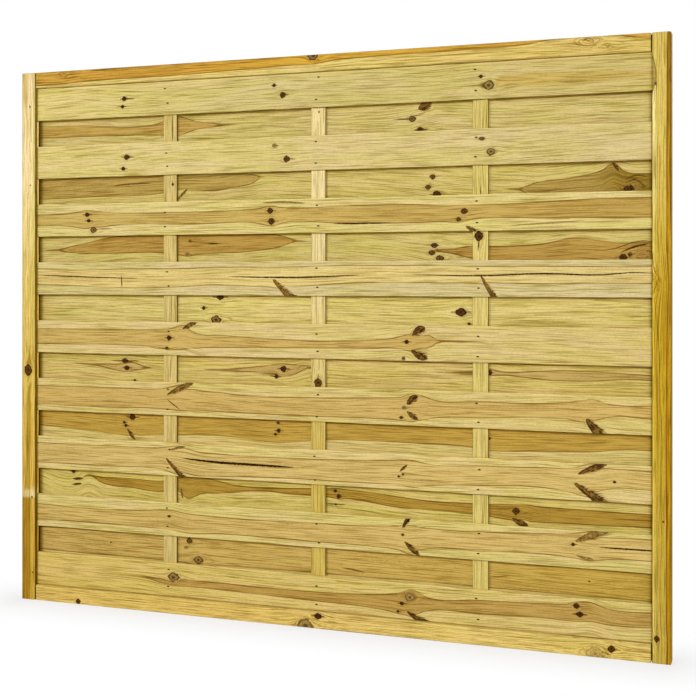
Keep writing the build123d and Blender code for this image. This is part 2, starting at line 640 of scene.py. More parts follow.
def with_spikes(colour, blades, blade_strength, fan, along, seed, grit):
    """The wood with its spikes: mottled flesh, black rays drawn out along each, and a line of bark."""
    start = Wire(colour.tree)
    spread_out = start.node("CombineXYZ", None, {0: fan * 3.0 + seed * 3.0, 1: along * 0.05, 2: seed})
    rays = spread_out.noise((1, 1, 1), 1.0, 0.5)
    bark = (1 - abs(fan + 0.85) * 4.5).rise(0.0, 0.8)
    tone = (blade_strength - swirl_strength) / (1 - swirl_strength)
    flesh = tone.between(pale_flesh, dark_flesh)
    flesh = flesh.times((0.5, 0.42, 0.25)).toward(flesh.times((1.3, 1.35, 1.5)), grit.rise(0.3, 0.7))
    colour = colour.toward(flesh, blades * (0.75 + tone * 0.5).least(1.0))
    black = (rays + tone * 0.08).rise(0.53, 0.61).most(bark) * (0.45 + tone * 0.5).least(1.0)
    return colour.toward(bark_black, blades * black)


crack_black = (0.03, 0.009, 0.001, 1)


def with_streaks(colour, ragged):
    """The wood with its streaks and cracks: brown from the middle out, and black where it is dark."""
    start = Wire(colour.tree)
    for letter in "ab":
        off, width, darkness = read(start, "streak_" + letter).parts()
        off = abs(off + ragged * width * 1.4) / width.most(0.05)
        cut = (1.5 - off).rise(0.0, 0.7) * width.rise(0.05, 0.3)
        colour = colour.toward(colour.times((0.5, 0.34, 0.15)), cut * (darkness * 1.4).least(1.0))
        black = cut * (darkness - 0.3).rise(0.0, 0.6) * (ragged + 0.5).rise(0.3, 0.45)
        colour = colour.toward(crack_black, black)
    return colour


def pine(name, green, ring_width, rings, contrast, roughness):
    """Planed pine, from the fields of the log. Growth rings are the fraction of the distance from the
    pith over the ring's width; fibres, fine lines and stains are noise drawn out along the grain; and
    the heartwood, the knots, the spikes and the streaks are laid over them. green is how much of the
    sapwood the preservative stains, rings how dark the rings are, and contrast the fibres' strength."""
    material, start = new_material(name)
    grain = read(start, "grain")
    heart_radius = grain.other(3)
    sap, heart = read(start, "sapwood"), read(start, "heartwood")
    seed, outlined = sap.other(3), heart.other(3)
    shift = start.node("CombineXYZ", None, {0: seed * 777.0, 1: seed * 131.0, 2: seed * 57.0})
    along, lateral, inward = grain.parts()
    place = grain.node("VectorMath", {"operation": "ADD"}, {0: grain, 1: shift})

    waver = place.noise((210, 17, 17), 2.0) - 0.5
    fibre = place.noise((90, 2.1, 2.1), 1.0, 0.5)
    thread = place.noise((240, 5.0, 5.0), 2.0, 0.6)
    grit = place.noise((7, 3.0, 3.0), 3.0, 0.75)
    line = place.noise((160, 2.0, 2.0), 1.0, 0.5)
    uneven = place.noise((11, 8, 8), 1.0, 0.5) - 0.5
    stain = place.noise((190, 26, 26), 1.0, 0.5)
    ragged = place.noise((5, 3, 3), 2.0, 0.6) - 0.5
    patchy = stain.rise(0.3, 0.66)

    from_pith = lateral.hypot(inward)
    turns = (from_pith + waver * 7.0 - heart_radius * 0.7) / ring_width + waver * 2.0
    ring = turns.calc("FRACT")
    late = ring.rise(0.5, 0.86) * (1 - ring.rise(0.9, 1.0)) * thread.rise(0.3, 0.58)
    dash = line.rise(0.58, 0.66) * (0.45 + patchy * 0.55)
    lines = (0.46 - fibre).most(0.0) * 10.5 - 0.2
    shade = 0.3 + (lines + (0.5 - thread) * 0.15 + (0.5 - grit) * 1.5) * contrast

    sap = sap.times((1.0, 1.0, 1.12)).toward(sap.times((0.93, 0.98, 0.78)), patchy * green)
    sap = sap.times((1.08, 1.09, 1.15)).toward(sap.times((0.7, 0.665, 0.5)), shade)
    sap = sap.toward(sap.times((0.72, 0.665, 0.5)), late * rings)
    sap = sap.toward(sap.times((0.6, 0.54, 0.37)), dash * contrast)
    broad = shade + waver * 1.3
    heart = heart.times((1.07, 1.09, 1.18)).toward(heart.times((0.69, 0.63, 0.45)), broad)
    heart = heart.toward(heart.times((0.72, 0.66, 0.48)), late * rings)
    heart = heart.toward(heart.times((0.56, 0.48, 0.3)), dash * contrast * 0.8)
    inside = heart_radius - from_pith + (fibre - 0.5) * 2.0 + (thread - 0.5) * 2.0
    colour = sap.toward(heart, inside.rise(-0.8, 0.8))
    edge = (1 - abs(inside - 0.8) / 2.0).rise(0.0, 0.7) * (0.3 + thread.rise(0.36, 0.5) * 0.7)
    colour = colour.toward(colour.times((0.4, 0.29, 0.12)), edge * outlined)

    near, strength, tails, blades, blade_strength, fan = nearest_branches(start, uneven, ragged, fibre)
    colour, halo = with_knots(colour, near, strength, tails, ragged)
    colour = with_spikes(colour, blades, blade_strength, fan, along, seed, grit)
    colour = with_streaks(colour, ragged)

    relief = fibre * 0.5 + late * 0.5 - (1.1 - near).rise(0.0, 0.25) * 0.6
    bump = start.node("Bump", None, {"Height": relief, "Strength": 0.35, "Distance": 0.0006})
    gloss = roughness + (fibre - 0.5) * 0.25 - halo * 0.08
    look = {"Base Color": colour, "Roughness": gloss, "Specular IOR Level": 0.06, "Normal": bump}
    show(start, start.node("BsdfPrincipled", None, look))
    return material


def dress(timber, node, finish):
    """Gives a finished timber its finish, and puts it in the place of its CAD node."""
    timber.data.materials.append(finish)
    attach(timber, "root")
    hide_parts(node)


def knot_spots(board):
    """The places where a timber needs finer rows: its knots and spikes, with their reach."""
    spots = [(u, 2.2 * radius + 4) for u, v, radius, dark in board.get("knots", [])]
    spots += [
        ((u0 + u1) / 2, abs(u1 - u0) / 2 + 2 * radius + 4)
        for u0, v0, u1, v1, radius, dark in board.get("spikes", [])
    ]
    return spots


stile_finish = pine(
    "golden_planed_pine_stiles",
    green=0.4, ring_width=7.0, rings=0.5, contrast=1.2, roughness=0.62,
)


def make_stile(node, inward, board, wane=()):
    """A stile. inward is 1 where its inner face looks along +X. The inner face is a height field:
    as deep as the grooves or the mortises inside their outlines, and flush elsewhere. Each wall is two
    lines of points a hair apart. wane narrows the cheek in front of the groove: by cut at its front and
    three quarters of that at the groove, at the middle of a bell along the stile."""
    middle, half = size_of(node)
    groove_in, groove_out = tongue_width / 2, tongue_width / 2 + groove_width
    edges = np.array([groove_in, mortise_width / 2, groove_out])
    edges = np.concatenate([edges, edges + wall, [groove_in - wall]])
    flat = half[0] - frame_radius
    face, side = spread(flat, face_spacing), spread(flat, side_spacing)
    inner = spread(flat, face_spacing, np.concatenate([edges, -edges]))
    v, w = outline(half[0], half[1], frame_radius, face, side, inner, side)
    rail_half = size_of("bottom_rail")[1][2]
    length = 2 * half[2]
    stops = np.array([rail_half - mortise_height / 2, rail_half + mortise_height / 2, 2 * rail_half])
    stops = np.concatenate([stops, stops + wall])
    spots = knot_spots(board) + [(place, reach) for place, reach, cut in wane]
    both_ends = np.concatenate([stops, length - stops])
    u = crowded_with(both_ends, 0, length, row_spacing, fine_spacing, spots)
    v, w = carried(u, v, w)
    from_end = np.minimum(u, length - u)[:, None]
    in_groove = (np.abs(w) > groove_in + hair) & (np.abs(w) < groove_out + hair)
    in_groove = in_groove & (from_end > 2 * rail_half + hair)
    in_mortise = (np.abs(w) < mortise_width / 2 + hair) & (from_end < stops[1] + hair)
    in_mortise = in_mortise & (from_end > stops[0] + hair)
    on_inner = v > half[0] - 1e-6
    v = v - on_inner * np.where(in_mortise, mortise_depth, np.where(in_groove, groove_depth, 0.0))
    for place, reach, cut in wane:
        rough = 1 + 0.12 * np.sin(u / 5.3) + 0.08 * np.sin(u / 2.1)
        lost = (cut * rough * np.exp(-(np.abs((u - place) / reach) ** 2.8)))[:, None]
        front = np.clip((-w - groove_out) / (half[1] - groove_out), 0, 1)
        cheek = w < hair - groove_out
        v = v - cheek * (0.75 + 0.25 * front) * lost * np.clip(v / half[0], 0, 1)
    v = v * inward

    def tints(u, v, w):
        """Painted shade, brown, on the inner face, darker painted shade on the tongue's face, and a
        painted highlight on the tongue's sides.
        """
        shaded_inner = v * inward > half[0] - 1.0
        return [
            (shaded_inner, painted_shade_brown),
            (shaded_inner & (np.abs(w) < groove_in), deep_painted_shade),
            (np.abs(np.abs(w) - groove_in - hair) < 2 * hair, painted_highlight_pale),
        ]

    timber = closed_bar(
        node + "_timber",
        lambda u, v, w: (middle[0] + v, middle[1] + w, middle[2] - half[2] + u),
        u, v, w, {"tints": tints, **board}, half[1],
    )
    dress(timber, node, stile_finish)


left_board = {
    "seed": 1.0,
    "outlined": 0.25,
    "pith": 9.0,
    "heart": [(0, -7, 12), (285, -6, 12), (330, -3, 8), (500, 0, 6), (580, 2, 3), (620, 4, -4),
              (720, 3, -5), (1100, 2, -5), (1500, -8, -4)],
    "bands": [(-50, 1550, -21, 3.5, (0.8, 0.78, 0.6)), (1400, 1560, -11, 12, (0.82, 0.74, 0.55)),
              (700, 1550, 17, 4, (0.9, 0.93, 0.75)), (0, 600, 15, 4, (1.12, 1.15, 1.2))],
    "knots": [(655, -0.5, 13, 0.7), (1404, 5, 2.2, 0.5), (292, 12, 2.5, 0.5), (78, 14, 2, 0.6),
              (1180, 6, 2, 0.3)],
    "sapwood": [(0, (0.65, 0.395, 0.047)), (288, (0.67, 0.415, 0.055)), (295, (0.84, 0.65, 0.26)),
                (312, (0.84, 0.65, 0.26)), (320, (0.75, 0.48, 0.072)), (600, (0.78, 0.535, 0.095)),
                (720, (0.82, 0.58, 0.125)), (900, (0.845, 0.62, 0.149)), (1200, (0.975, 0.768, 0.335)),
                (1500, (0.965, 0.757, 0.365))],
    "heartwood": [(0, (0.47, 0.26, 0.014)), (288, (0.47, 0.26, 0.014)), (294, (0.82, 0.62, 0.24)),
                  (310, (0.84, 0.65, 0.26)), (318, (0.57, 0.335, 0.033)), (600, (0.6, 0.37, 0.04))],
}
right_board = {
    "seed": 2.0,
    "pith": 5.0,
    "heart": [(0, 16.5, 6), (700, 16.5, 6), (1200, 16.5, 5), (1330, 17, 4.5), (1500, 18, 4)],
    "bands": [(0, 1460, -17, 5, (1.1, 1.15, 1.5)), (900, 1460, -17, 5, (1.05, 1.1, 1.4)),
              (690, 900, 7, 4, (0.84, 0.76, 0.55)), (760, 1010, -2, 2.5, (1.1, 1.13, 1.3)),
              (480, 720, -4, 2, (0.88, 0.83, 0.65)), (560, 800, 2, 2, (1.1, 1.12, 1.2)),
              # The band at height -20.5 is a painted highlight along the arris beside the slats.
              (0, 1500, -20.5, 3, (1.3, 1.33, 1.5)), (0, 1460, -11.5, 0.9, (0.8, 0.75, 0.55))],
    "knots": [(58, -11, 6.5, 0.75), (338, 4, 2.2, 0.6), (1378, -14, 2.5, 0.5), (905, -24, 15, 0.0)],
    "sapwood": [(0, (0.64, 0.452, 0.074)), (600, (0.59, 0.37, 0.0203)), (900, (0.59, 0.37, 0.0203)),
                (1050, (0.65, 0.45, 0.06)), (1250, (0.73, 0.545, 0.11)), (1500, (0.705, 0.512, 0.11))],
    "streaks": [([(1360, -20.5), (1382, -14.5), (1400, -13), (1420, -14.5), (1444, -20)], 1.3, 0.5),
                ([(1376, 21.5), (1400, 18.5), (1420, 21.5)], 1.6, 0.4),
                ([(690, -3), (790, -9), (880, -18)], 0.9, 0.4),
                ([(620, -12), (740, -15), (850, -20)], 0.9, 0.4),
                ([(480, 3), (560, 0), (660, -3)], 0.9, 0.35), ([(1130, -14), (1210, -15)], 0.8, 0.5)],
    "heartwood": [(0, (0.58, 0.303, 0.0058)), (1500, (0.655, 0.363, 0.0145))],
}
make_stile("left_stile", 1, left_board)
make_stile("right_stile", -1, right_board, wane=[(1400, 38, 7.5), (960, 12, 3)])


# The rails. Two lengths of the same square pine lie between the stiles, with a tenon at each end
# glued into the stile, and slots in the faces towards the slats for the battens' ends.
tenon_length = 28.0
tenon_height = 30.0
tenon_thickness = 14.0
shoulder_gap = 2.0
shoulder_radius = 2.4
slot_depth = 12.0
slot_width = 40.4
slot_thickness = 8.4
rail_face_spacing = 3.2
rail_finish = pine(
    "golden_planed_pine_rails",
    green=0.4, ring_width=6.0, rings=0.6, contrast=2.4, roughness=0.62,
)


def make_rail(node, inward, board):
    """A rail. inward is 1 where its face towards the slats looks up. That face is a height field with
    three slots. Towards each shoulder the outline shrinks along a quarter circle, and past it to the
    tenon's."""
    middle, half = size_of(node)
    flat = half[2] - frame_radius
    edges = np.array([slot_thickness / 2, slot_thickness / 2 + wall])
    face, side = spread(flat, rail_face_spacing), spread(flat, side_spacing)
    inner = spread(flat, face_spacing, np.concatenate([edges, -edges]))
    v, w = outline(half[2], half[1], frame_radius, face, side, inner, side)
    first, last = middle[0] - half[0], middle[0] + half[0]
    shoulder = tenon_length + shoulder_gap
    eased = shoulder + shoulder_radius * np.array([0, 0.05, 0.2, 0.5, 1.0])
    shoulders = np.concatenate([[shoulder - wall], eased])
    shoulders = np.concatenate([first + shoulders, last - shoulders])
    centres = np.array([size_of(f"batten_{number}")[0][0] for number in (1, 2, 3)])
    slots = np.sort(np.concatenate([centres - slot_width / 2, centres + slot_width / 2]))
    stops = np.concatenate([slots, slots + wall, shoulders])
    u = crowded_with(stops, first, last, row_spacing, fine_spacing, knot_spots(board))
    v, w = carried(u, v, w)
    along_slot = np.searchsorted(slots + hair, u) % 2 == 1
    in_slot = along_slot[:, None] & (np.abs(w) < slot_thickness / 2 + hair)
    v = v - ((v > half[2] - 1e-6) & in_slot) * slot_depth
    from_end = np.minimum(u - first, last - u)
    short = np.clip(1 - (from_end - shoulder) / shoulder_radius, 0, 1)
    shrink = 1 - shoulder_radius * (1 - np.sqrt(1 - short**2)) / half[2]
    tenon = from_end < shoulder - hair
    v = v * np.where(tenon, tenon_height / 2 / half[2], shrink)[:, None] * inward
    w = w * np.where(tenon, tenon_thickness / 2 / half[1], shrink)[:, None]

    def tints(u, v, w):
        """Painted shade, brown, on the tenons and the shoulders, where the rail meets the stile."""
        return [(np.minimum(u - first, last - u) < shoulder + 0.3 * shoulder_radius, painted_shade_brown)]

    timber = closed_bar(
        node + "_timber",
        lambda u, v, w: (u, middle[1] + w, middle[2] + v),
        u, v, w, {"tints": tints, **board}, half[1],
    )
    dress(timber, node, rail_finish)


top_board = {
    "seed": 3.0,
    "pith": 12.0,
    "heart": [(16, 30, 46), (200, 30, 42), (620, 30, 38), (760, 31, 35), (900, 31, 27), (1100, 31, 24),
              (1300, 31, 23), (1450, 31, 19), (1560, 31, 8), (1660, 31, 8), (1720, 31, 19),
              (1784, 31, 24)],
    "knots": [(892, 19, 13, 0.5), (1607, 11, 12, 0.0), (136, 12, 8, 0.05), (1648, -3, 6, 0.0)],
    "sapwood": [(16, (0.79, 0.608, 0.188)), (900, (0.79, 0.608, 0.188)), (1300, (0.75, 0.552, 0.15)),
                (1784, (0.74, 0.541, 0.144))],
    "heartwood": [(16, (0.64, 0.372, 0.057)), (400, (0.595, 0.322, 0.043)), (900, (0.67, 0.385, 0.04)),
                  (1784, (0.66, 0.375, 0.052))],
}
bottom_board = {
    "seed": 4.0,
    "pith": 14.0,
    "heart": [(16, -42, 18), (600, -42, 20), (1100, -42, 21), (1784, -42, 18)],
    "knots": [(185, -14, 7, 0.7), (905, 11.5, 8, 0.9), (871, -17, 19, 0.3), (1661, 2.5, 7.5, 0.75),
              (1622, -13, 18, 0.15)],
    "sapwood": [(16, (0.815, 0.575, 0.142)), (700, (0.83, 0.59, 0.15)), (1400, (0.865, 0.65, 0.188)),
                (1784, (0.825, 0.61, 0.159))],
    "heartwood": (0.6, 0.34, 0.09),
}
make_rail("top_rail", -1, top_board)
make_rail("bottom_rail", 1, bottom_board)


# The battens. Three thin uprights of planed pine stand in the rails' slots, and the slats are nailed
# to them from both sides.
thin_radius = 0.8
thin_spacing = 2.4
hidden_spacing = 5.0
thin_row_spacing = 12.0
batten_finish = pine(
    "pale_planed_pine_battens",
    green=0.3, ring_width=6.0, rings=0.6, contrast=1.0, roughness=0.64,
)


def make_batten(number, board):
    """A batten: one plain outline from slot to slot, with its edges just eased and painted shade, brown,
    on its sides.
    """
    node = f"batten_{number}"
    middle, half = size_of(node)
    flat_v, flat_w = half[0] - thin_radius, half[1] - thin_radius
    face, back = spread(flat_v, thin_spacing), spread(flat_v, hidden_spacing)
    side = spread(flat_w, thin_spacing)
    v, w = outline(half[0], half[1], thin_radius, face, back, side, side)
    first, last = middle[2] - half[2], middle[2] + half[2]
    u = crowded(first, last, thin_row_spacing, fine_spacing, knot_spots(board))
    v, w = carried(u, v, w)

    def tints(u, v, w):
        """Painted shade, brown, on the sides."""
        return [(np.abs(v) > half[0] - 0.4, painted_shade_brown)]

    timber = closed_bar(
        node + "_timber",
        lambda u, v, w: (middle[0] + v, middle[1] + w, u),
        u, v, w, {"seed": 4.0 + number, "tints": tints, **board}, half[1],
    )
    dress(timber, node, batten_finish)


make_batten(1, {
    "pith": 26.0,
    "heart": [(33, 6, -19), (300, 4, -16), (500, 8, -19), (700, 3, -15), (860, 5, -19), (1020, 2, -16),
              (1180, 6, -20), (1330, 5, -14), (1467, 6, -19)],
    "knots": [(1173, 8, 4, 0.95)],
    "streaks": [([(1288, 6), (1330, 7), (1362, 6)], 1.6, 0.6), ([(800, 3), (900, 5)], 1.1, 0.45),
                ([(640, 0), (700, 2)], 1.3, 0.5)],
    "sapwood": (0.725, 0.556, 0.186),
})
make_batten(2, {
    "pith": 24.0,
    "heart": [(33, 0, -17), (200, 2, -14), (330, 0, -18), (520, 3, -14), (640, 0, -18), (850, -2, -13),
              (1000, 0, -17), (1160, 2, -13), (1340, 1, -18), (1467, 0, -15)],
    "knots": [(641, 0, 10, 0.65), (1352, 2, 2, 0.6)],
    "sapwood": [(33, (0.715, 0.53, 0.11)), (450, (0.695, 0.51, 0.102)), (640, (0.77, 0.59, 0.2)),
                (1100, (0.92, 0.745, 0.355)), (1467, (0.855, 0.675, 0.265))],
})
make_batten(3, {
    "pith": 26.0,
    "heart": [(33, 1, -15), (180, -2, -19), (340, 0, -15), (500, 2, -19), (680, 0, -14), (850, 2, -18),
              (1020, 0, -14), (1200, -2, -18), (1350, 0, -14), (1467, 1, -17)],
    "knots": [(1020, -4, 11, 0.8)],
    "streaks": [([(985, -6), (1006, -5)], 1.4, 0.7), ([(1128, 0), (1146, 1)], 1.0, 0.8)],
    "sapwood": (0.75, 0.6, 0.173),
})


# The front slats. Nine thin planed boards, sawn from small trees: most have the pith inside them, so
# that a band of heartwood runs down the middle and the branches lie as spikes in the face. Their ends
# stand in the stiles' front grooves, and two nails hold each to each batten.
slat_radius = 1.2
end_gap = 2.0
front_spacing = 2.6
slat_edge_spacing = 1.9
split_spacing = 0.9
slat_row_spacing = 12.0
slat_fine_spacing = 2.2
# A painted highlight along a slat's upper arris, and the painted shade on a back slat close under a
# front one.
arris_highlight = (1.16, 1.16, 1.16)
gap_shade = (0.34, 0.44, 0.7)
gap_shade_reach = 6.5
front_joint_reach = 3.5
back_joint_reach = 8.0
top_middle, top_half = size_of("front_slat_1")
half_gap = (top_middle[2] - size_of("front_slat_2")[0][2]) / 2 - top_half[2]
slat_finish = pine(
    "pale_green_pine_front_slats",
    green=0.75, ring_width=7.5, rings=0.28, contrast=1.05, roughness=0.66,
)


def wander(u, seed):
    """A slow wavering between about -1 and 1 along a timber: three sines of unlike length."""
    return (
        0.5 * np.sin(u / 71 + seed * 1.7)
        + 0.3 * np.sin(u / 31 + seed * 2.9)
        + 0.2 * np.sin(u / 13 + seed * 4.3)
    )


def make_slat(node, board, spacing, finish):
    """A slat. The outline's width wavers by half a millimetre along it, and each split in board is a
    groove in the front face: its depth falls from the split's line as 1 - (offset / half width)^2."""
    middle, half = size_of(node)
    flat_v, flat_w = half[2] - slat_radius, half[1] - slat_radius
    splits = board.get("splits", [])
    extra = []
    for line, width, depth in splits:
        ends = [value for place, value in line]
        extra = np.concatenate([extra, np.arange(min(ends) - width, max(ends) + width, split_spacing)])
    side = spread(flat_w, slat_edge_spacing)
    front = spread(flat_v, spacing, extra)
    v, w = outline(half[2], half[1], slat_radius, front, spread(flat_v, hidden_spacing), side, side)
    first, last = middle[0] - half[0], middle[0] + half[0]
    at_back = middle[1] > 0
    reach = back_joint_reach if at_back else front_joint_reach
    joints = [(first + groove_depth - end_gap, reach), (last - groove_depth + end_gap, reach)]

    def tints(u, v, w):
        """A painted highlight along the upper arris, and painted shade, brown, on the underside. A back
        slat has painted shade, with the painted glow of the wood around it, close under the front slat
        above it."""
        if at_back:
            hidden = np.exp(-(np.clip((half_gap - v) / gap_shade_reach, 0, None) ** 1.5))
            return [(w < 0, (1 - hidden[:, None] * gap_shade)[w < 0])]
        return [(v > flat_v - 1.0, arris_highlight), (v < -flat_v - 0.8, deep_painted_shade)]

    spots = knot_spots(board) + [(joint, back_joint_reach) for joint, reach in joints]
    u = crowded(first, last, slat_row_spacing, slat_fine_spacing, spots)
    v, w = carried(u, v, w)
    narrow = 0.5 + 0.25 * wander(u, board["seed"]) + 0.25 * wander(u + 400, board["seed"])
    v = v - np.sign(v) * (np.abs(v) / half[2]) ** 8 * narrow[:, None]
    for line, width, depth in splits:
        t = np.clip((u - line[0][0]) / (line[-1][0] - line[0][0]), 0, 1)
        reach = (width * np.sqrt(4 * t * (1 - t)) + 1e-3)[:, None]
        off = (v - curve(u, line, 1)[:, None]) / reach
        w = w + depth * np.clip(1 - off**2, 0, 1) * (w < -flat_w) * np.clip(reach, 0, 1)
    timber = closed_bar(
        node + "_timber",
        lambda u, v, w: (u, middle[1] + w, middle[2] + v),
        u, v, w, {"joints": joints, "tints": tints, **board}, half[1],
    )
    dress(timber, node, finish)


def make_front_slat(number, board):
    """A front slat, counted from the top."""
    board = {"seed": 10.0 + number, **board}
    make_slat(f"front_slat_{number}", board, front_spacing, slat_finish)


make_front_slat(1, {
    "outlined": 0.15,
    "pith": 48.0,
    "heart": [(34, 2, -22), (250, 6, -30), (327, 0, -34), (480, 0, -24), (700, 4, -31), (800, 6, -34),
              (1000, 3, -24), (1200, -2, -29), (1350, 0, -34), (1390, -2, -9), (1430, -2, 6),
              (1560, -5, 12), (1690, -6, 8), (1766, -6, 6)],
    "knots": [(327, 4, 6, 1.0), (321, -17, 4.5, 0.9), (778, 18, 4.5, 0.95), (802, -8, 7, 0.8),
              (1339, 11, 4.2, 1.0), (1358, -12, 11, 0.42)],
    "streaks": [([(332, 4), (358, 3)], 1.4, 0.6), ([(300, -17), (345, -17)], 1.3, 0.5)],
    "sapwood": [(34, (0.775, 0.62, 0.207)), (700, (0.68, 0.548, 0.207)), (1766, (0.635, 0.495, 0.158))],
    "heartwood": (0.65, 0.47, 0.12),
})
make_front_slat(2, {
    "pith": 50.0,
    "heart": [(34, -4, -24), (280, 0, -34), (345, 0, -37), (520, 3, -28), (760, 0, -34), (830, 0, -36),
              (1050, -3, -26), (1300, 0, -33), (1370, 0, -36), (1600, 4, -26), (1766, 6, -30)],
    "knots": [(335, 7, 7, 0.85), (323, -25, 5, 1.0), (780, 23, 5.5, 0.35), (813, -14, 7.5, 0.7),
              (1341, 20, 5, 0.6), (1364, -13, 9, 0.42)],
    "streaks": [([(340, 7), (362, 6)], 1.4, 0.5), ([(818, -13), (838, -15)], 1.2, 0.6)],
    "sapwood": [(34, (0.775, 0.615, 0.226)), (1100, (0.73, 0.575, 0.225)), (1766, (0.7, 0.545, 0.226))],
})
make_front_slat(3, {
    "heart": [(34, 0, 16), (150, 0, 18), (212, -2, 23), (300, 0, 17), (560, 0, 17), (700, 2, 16),
              (768, 1, 20), (830, 3, 17), (950, 2, 22), (1200, 0, 22), (1285, -0.5, 18),
              (1350, 1.5, 16.5), (1500, 3.5, 20.5), (1650, 5.5, 23.5), (1766, 5, 24)],
    "knots": [(208, 14, 6, 1.0), (213, -3, 5.5, 1.0), (229, -29, 8, 0.5), (766, 15, 7.5, 0.8),
              (771, -13, 8.5, 0.8), (1296, 4, 6.5, 0.7), (1281, -16, 5.5, 0.65)],
    "spikes": [(1300, -33, 1326, -48, 6, 0.7)],
    "streaks": [([(742, 36), (800, 37), (868, 33)], 2.6, 0.55),
                ([(946, -22), (1020, -22), (1103, -22)], 1.8, 0.85),
                ([(1413, -33), (1500, -29), (1594, -24)], 1.7, 0.5),
                ([(236, -27), (288, -26)], 1.4, 0.5)],
    "sapwood": (0.765, 0.617, 0.225),
    "heartwood": [(34, (0.6, 0.425, 0.11)), (900, (0.62, 0.43, 0.115)), (1766, (0.52, 0.338, 0.074))],
})
make_front_slat(4, {
    "heart": [(34, 5.5, 22.5), (250, 0.5, 24.5), (325, 0, 27), (455, 1, 26), (600, 5.5, 24.5),
              (855, 4, 27), (955, 9, 24), (1200, 11, 22), (1350, 9, 22), (1766, 8.5, 21.5)],
    "spikes": [(774, -2, 824, -47, 9, 0.55), (1338, 7, 1373, -47, 6.5, 0.6), (318, 9, 319, -23, 2, 0.9)],
    "streaks": [([(34, 10), (245, 3), (316, 1), (372, 0)], 1.4, 0.85),
                ([(646, 5), (774, 3), (892, 4), (1020, 9)], 1.8, 0.9),
                ([(1160, 10), (1336, 7), (1496, 12), (1633, 9), (1712, 14), (1774, 12)], 1.7, 0.85)],
    "sapwood": [(34, (0.73, 0.585, 0.245)), (1766, (0.71, 0.575, 0.265))],
    "heartwood": [(34, (0.76, 0.57, 0.196)), (900, (0.79, 0.615, 0.218)), (1766, (0.755, 0.58, 0.215))],
})
make_front_slat(5, {
    "heart": [(34, 0, 22), (235, 1, 22), (430, 0, 24), (468, -1, 27), (508, 4, 32), (550, -4, 20),
              (620, -5, 17), (715, -6.5, 13.5), (972, -7, 10), (1050, -5, 11), (1130, 0, 16),
              (1158, 1, 23), (1192, 3, 20), (1222, 5, 6), (1300, 6, 2), (1360, 5, -2), (1766, 0, -2)],
    "knots": [(466, 2, 6, 1.0), (459, -26, 4, 0.55), (1144, 3, 5, 1.0), (1136, -40, 4.5, 0.5)],
    "spikes": [(506, 27, 550, 45, 8, 0.7), (1159, 19, 1193, 41, 13, 0.85),
               (1156, -17, 1200, -39, 13, 0.85)],
    "streaks": [([(1195, 8), (1240, 8), (1300, 5)], 2.6, 0.3),
                ([(410, -25), (440, -28), (462, -27)], 1.2, 0.5)],
    "sapwood": [(34, (0.765, 0.59, 0.228)), (900, (0.765, 0.59, 0.228)), (1766, (0.74, 0.56, 0.2))],
    "heartwood": [(34, (0.66, 0.46, 0.131)), (1100, (0.62, 0.42, 0.115)), (1766, (0.65, 0.45, 0.125))],
})
make_front_slat(6, {
    "heart": [(34, -2, 27), (275, -2, 28), (450, 0, 28.5), (500, 2, 33), (560, -2, 28), (620, -4, 26.5),
              (735, -8.5, 23), (855, -8, 24.5), (935, -7, 25), (1050, -4.5, 26.5), (1130, -3, 28.5),
              (1173, 1, 33), (1210, -1, 24), (1355, 1.5, 20.5), (1494, 5, 18), (1554, 7, 21),
              (1593, 6.5, 27.5), (1613, 8, 29), (1653, 8.5, 17.5), (1766, 7, 16)],
    "knots": [(1138, 0, 4, 0.35), (1130, -26, 4.5, 0.8)],
    "spikes": [(458, 10, 540, 46, 10, 0.5), (458, -1, 500, -29, 2.2, 0.5), (1144, 8, 1174, 31, 11, 0.85),
               (1144, -9, 1175, -30, 8, 0.65), (1600, -12, 1634, -47, 12, 0.7)],
    "sapwood": (0.762, 0.588, 0.212),
    "heartwood": [(34, (0.66, 0.447, 0.126)), (900, (0.67, 0.467, 0.14)), (1766, (0.68, 0.465, 0.134))],
})
crack = [(508, 4), (615, -2), (695, -3), (836, -4)]
make_front_slat(7, {
    "heart": [(34, -1, 28.5), (275, -1, 28.7), (450, 0, 31.5), (490, -1, 37), (550, -9, 33),
              (620, -9.5, 30.5), (833, -7, 27), (933, -6, 28), (1051, -4, 30), (1130, -2, 32),
              (1154, -3, 34.5), (1197, -4, 28), (1336, 1, 25), (1494, 5, 25), (1565, 2.5, 30.5),
              (1610, 5, 36), (1650, 9, 27), (1766, 10, 23)],
    "knots": [(1135, -6, 3.2, 0.7), (1123, -12, 3, 0.8), (1667, 4, 3, 0.8)],
    "spikes": [(1578, 18, 1650, 46, 10, 0.65), (1571, -4, 1642, -47, 11, 0.65),
               (464, 24, 516, 36, 4.5, 0.3), (456, 2, 508, -47, 6.5, 0.65), (1125, 0, 1147, 19, 4, 0.7)],
    "streaks": [(crack, 3.0, 1.0), ([(836, -4), (930, -3)], 1.2, 0.2)],
    "splits": [(crack, 2.6, 2.5)],
    "sapwood": (0.815, 0.632, 0.24),
    "heartwood": [(34, (0.702, 0.502, 0.16)), (900, (0.727, 0.527, 0.173)),
                  (1766, (0.712, 0.512, 0.16))],
})
end_split = [(1630, 8.5), (1700, 9), (1790, 9.5)]
